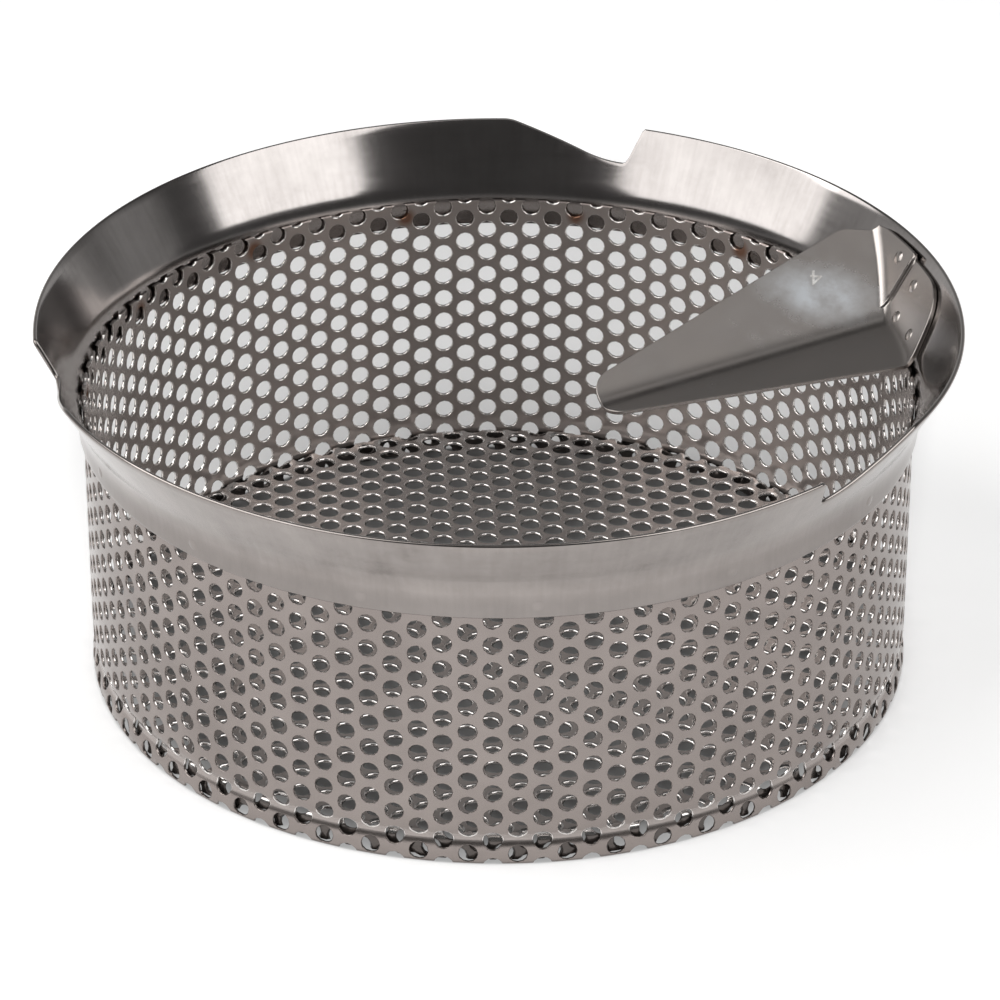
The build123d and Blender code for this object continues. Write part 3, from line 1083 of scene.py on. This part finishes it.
    # hole size, stamped into the wing so that it reads from the rim
    text = bpy.data.curves.new("sizeMark", "FONT")
    text.body = "4"
    text.size = look["markHeight"] / 0.7
    text.align_x = "CENTER"
    text.align_y = "CENTER"
    text.extrude = look["markDepth"]
    text.resolution_u = 2
    holder = addObject("sizeMark", text)
    stamped = bpy.data.meshes.new_from_object(holder.evaluated_get(bpy.context.evaluated_depsgraph_get()))
    bpy.data.objects.remove(holder)
    reading = Vector((-1, 0, wingUp.x / wingUp.z)).normalized()
    across = wingUp.cross(reading)
    x, y = look["markPlace"]
    lift = plateHeight(x, y, wingUp)
    for vert in stamped.vertices:
        vert.co = Vector((x, y, lift)) + reading * vert.co.x + across * vert.co.y + wingUp * vert.co.z
    stamped.materials.clear()
    stamped.materials.append(steelOfMark)
    finishPiece(addObject("sizeMark", stamped))


makeDeflector()


# Floor of the studio, lights and camera
stageLook = {
    "floorSize": 6.0,
    "floorColour": grey(0.80),
    "floorShadeUnderSieve": grey(0.29),     # painted shade: the floor under the sieve
    "floorGlow": 0.42,             # added to the lit floor, except in a painted shadow where it is seen through the sieve
    "shadeLength": 0.150,
    "shadeRadius": 0.092,
    "roomDark": grey(0.07),        # the side that the camera stands on
    "roomLow": grey(0.45),         # just above the floor's far edge
    "roomSide": grey(0.32),
    "roomTop": grey(0.56),
    "roomBand": grey(0.55),
    "roomBack": grey(0.60),        # low and behind, where the backdrop is
}


def makeStage():
    material, wire = newMaterial("studioFloor")
    path = wire.tree.nodes.new("ShaderNodeLightPath")
    seen = Wire(wire.tree, path.outputs["Is Camera Ray"])
    for title in ("Is Glossy Ray", "Is Transmission Ray"):
        seen = wire.math("MAXIMUM", seen, Wire(wire.tree, path.outputs[title]))
    x, y, _ = axes(wire, wire.node("ShaderNodeTexCoord", output=3))
    # painted shade: the floor under the sieve gets the darker colour
    beyond = clamp(wire, (length(wire, x, y) - 91.2 * mm) / (0.8 * mm))
    colour = blend(wire, beyond, stageLook["floorShadeUnderSieve"], stageLook["floorColour"])
    plain = wire.node("ShaderNodeBsdfDiffuse", values={"Color": colour})
    # painted shadow: the glow leaves out a long round patch that starts at the drum and runs back
    along = wire.math("MINIMUM", wire.math("MAXIMUM", y, 0.0), stageLook["shadeLength"])
    away = length(wire, x, y - along) - along * 0.14
    strength = ramp(wire, away, stageLook["shadeRadius"] - 0.014, stageLook["shadeRadius"]) * stageLook["floorGlow"]
    glow = wire.node("ShaderNodeEmission", values={"Color": (1.0, 1.0, 1.0), "Strength": seen * strength})
    finishMaterial(wire, wire.node("ShaderNodeAddShader", values={0: plain, 1: glow}))
    half = stageLook["floorSize"] / 2
    mesh = bpy.data.meshes.new("studioFloor")
    mesh.from_pydata([(-half, -half, 0), (half, -half, 0), (half, half, 0), (-half, half, 0)], [], [(0, 1, 2, 3)])
    mesh.materials.append(material)
    addObject("studioFloor", mesh)

    world = bpy.data.worlds.new("studioRoom")
    world.use_nodes = True
    world.node_tree.nodes.clear()
    wire = Wire(world.node_tree)
    path = wire.tree.nodes.new("ShaderNodeLightPath")
    camera = Wire(wire.tree, path.outputs["Is Camera Ray"])
    x, y, z = axes(wire, wire.node("ShaderNodeTexCoord", output=0))
    behind = ramp(wire, y - x * 0.35, 0.1, 0.75) * (1 - ramp(wire, z, 0.12, 0.70))
    side = ramp(wire, x, 0.5, 0.8) * ramp(wire, y, 0.05, 0.15) * (1 - ramp(wire, y, 0.40, 0.55))
    side = side * (1 - ramp(wire, z, 0.3, 0.5))
    band = ramp(wire, y, 0.2, 0.4) * ramp(wire, z, 0.83, 0.87) * (1 - ramp(wire, z, 0.91, 0.94))
    room = blend(wire, ramp(wire, z, 0.04, 0.16), stageLook["roomLow"], stageLook["roomDark"])
    room = blend(wire, side, room, stageLook["roomSide"])
    room = blend(wire, band, room, stageLook["roomBand"])
    room = blend(wire, ramp(wire, z, 0.945, 0.98), room, stageLook["roomTop"])
    room = blend(wire, behind, room, stageLook["roomBack"])
    room = blend(wire, camera, room, (1.0, 1.0, 1.0))
    back = wire.node("ShaderNodeBackground", values={"Color": room, "Strength": 1.0})
    wire.node("ShaderNodeOutputWorld", values={"Surface": back})
    bpy.context.scene.world = world


lampLook = {
    # azimuth and elevation in degrees, roll in degrees, distance, width, height and power
    "softRight": (-24.0, 48.3, -7.0, 1.3, 0.95, 1.14, 7.9),
    "softLeft": (198.0, 46.0, 14.0, 1.3, 1.32, 1.25, 11.3),
    "strip": (165.0, 44.0, 0.0, 1.3, 0.42, 0.9, 2.6),
}


lampColour = (1.0, 0.995, 0.99)


def makeLamps():
    target = Vector((0, 0, 0.05))
    for name, (azimuth, elevation, roll, distance, width, height, power) in lampLook.items():
        lamp = bpy.data.lights.new(name, "AREA")
        lamp.shape = "RECTANGLE"
        lamp.size = width
        lamp.size_y = height
        lamp.energy = power
        lamp.color = lampColour
        holder = addObject(name, lamp)
        flat = cos(radians(elevation))
        away = Vector((flat * cos(radians(azimuth)), flat * sin(radians(azimuth)), sin(radians(elevation))))
        holder.location = target + away * distance
        turned = away.to_track_quat("Z", "Y") @ Quaternion((0, 0, 1), radians(roll))
        holder.rotation_euler = turned.to_euler()
        holder.visible_camera = False


cameraLook = {
    "place": (0.00036, -0.9239, 0.55461),
    "elevation": radians(29.283),
    "lens": 170.66,
    "sensor": 36.0,
}


def makeCamera():
    look = cameraLook
    camera = bpy.data.cameras.new("photoCamera")
    camera.lens = look["lens"]
    camera.sensor_width = look["sensor"]
    holder = addObject("photoCamera", camera)
    holder.location = look["place"]
    holder.rotation_euler = (pi / 2 - look["elevation"], 0, 0)
    bpy.context.scene.camera = holder


makeStage()
makeLamps()
makeCamera()
bpy.context.scene.view_settings.view_transform = "Standard"
print("stage, lamps and camera ready")
